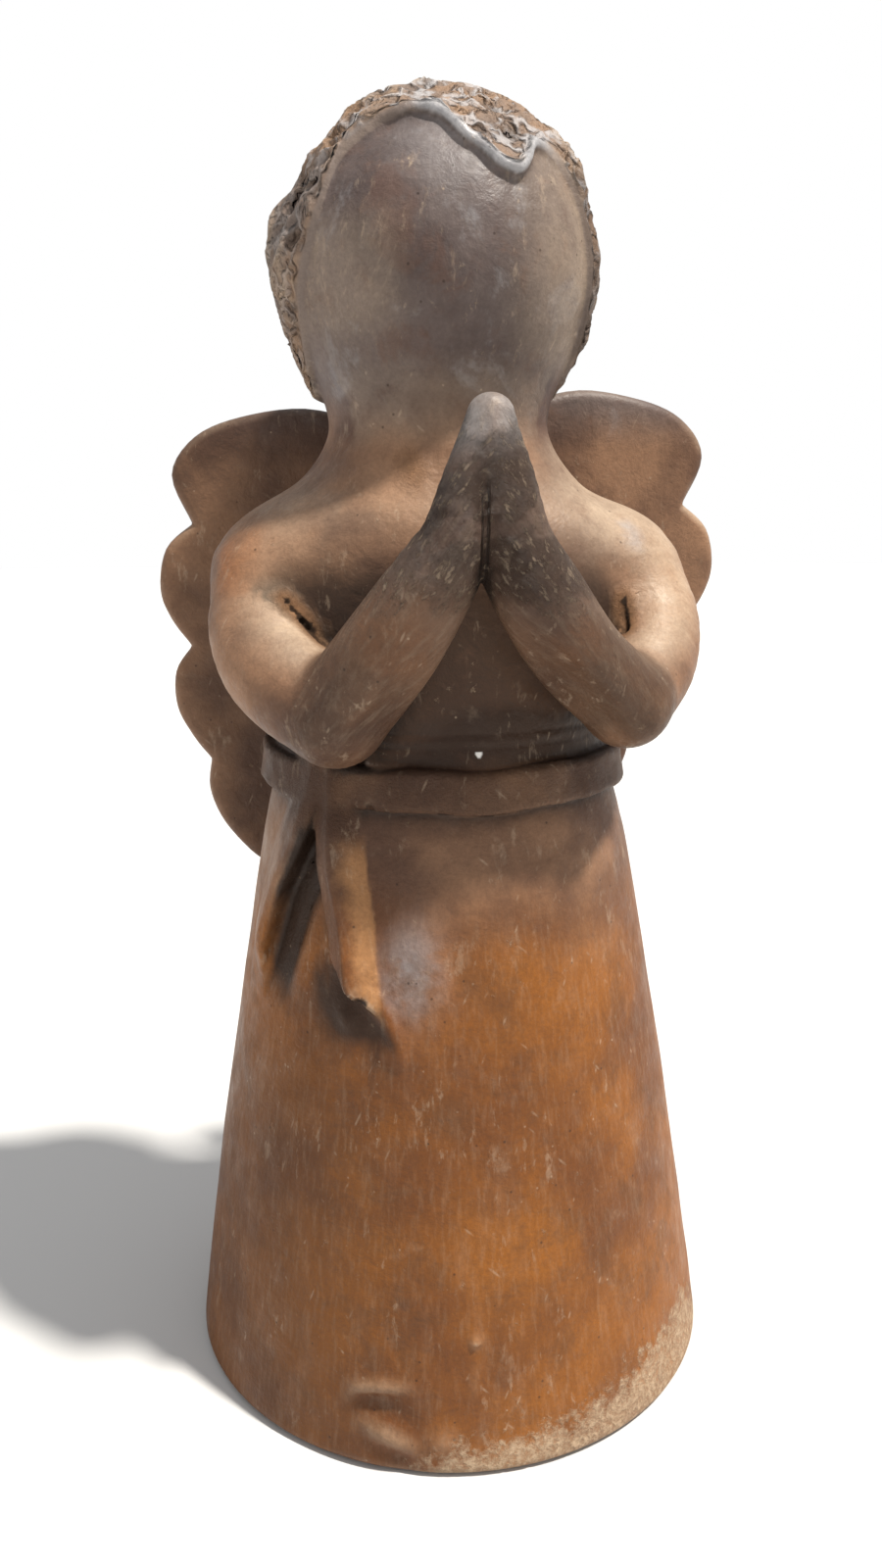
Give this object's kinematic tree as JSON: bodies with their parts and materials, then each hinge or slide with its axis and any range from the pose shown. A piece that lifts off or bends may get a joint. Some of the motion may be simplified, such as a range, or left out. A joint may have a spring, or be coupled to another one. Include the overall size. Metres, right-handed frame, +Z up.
{
  "type": "terracotta angel figure",
  "caption": "Standing hand-modelled clay angel with a blank round face, curled hair, scalloped wings, joined raised hands and a sashed bell skirt, hollow from its open foot.",
  "frame": {"origin": "under the middle of the figure's overall width and depth, on the plane its foot stands on", "axes": "+Z up, the figure faces -Y, and the two sash tails hang towards -X"},
  "size_m": [0.1998, 0.175, 0.3976],
  "materials": {
    "terracotta": "burnished unglazed red clay, soot-browned, satin on its high spots"
  },
  "bodies": {
    "root": {"angel": "terracotta"}
  },
  "joints": []
}
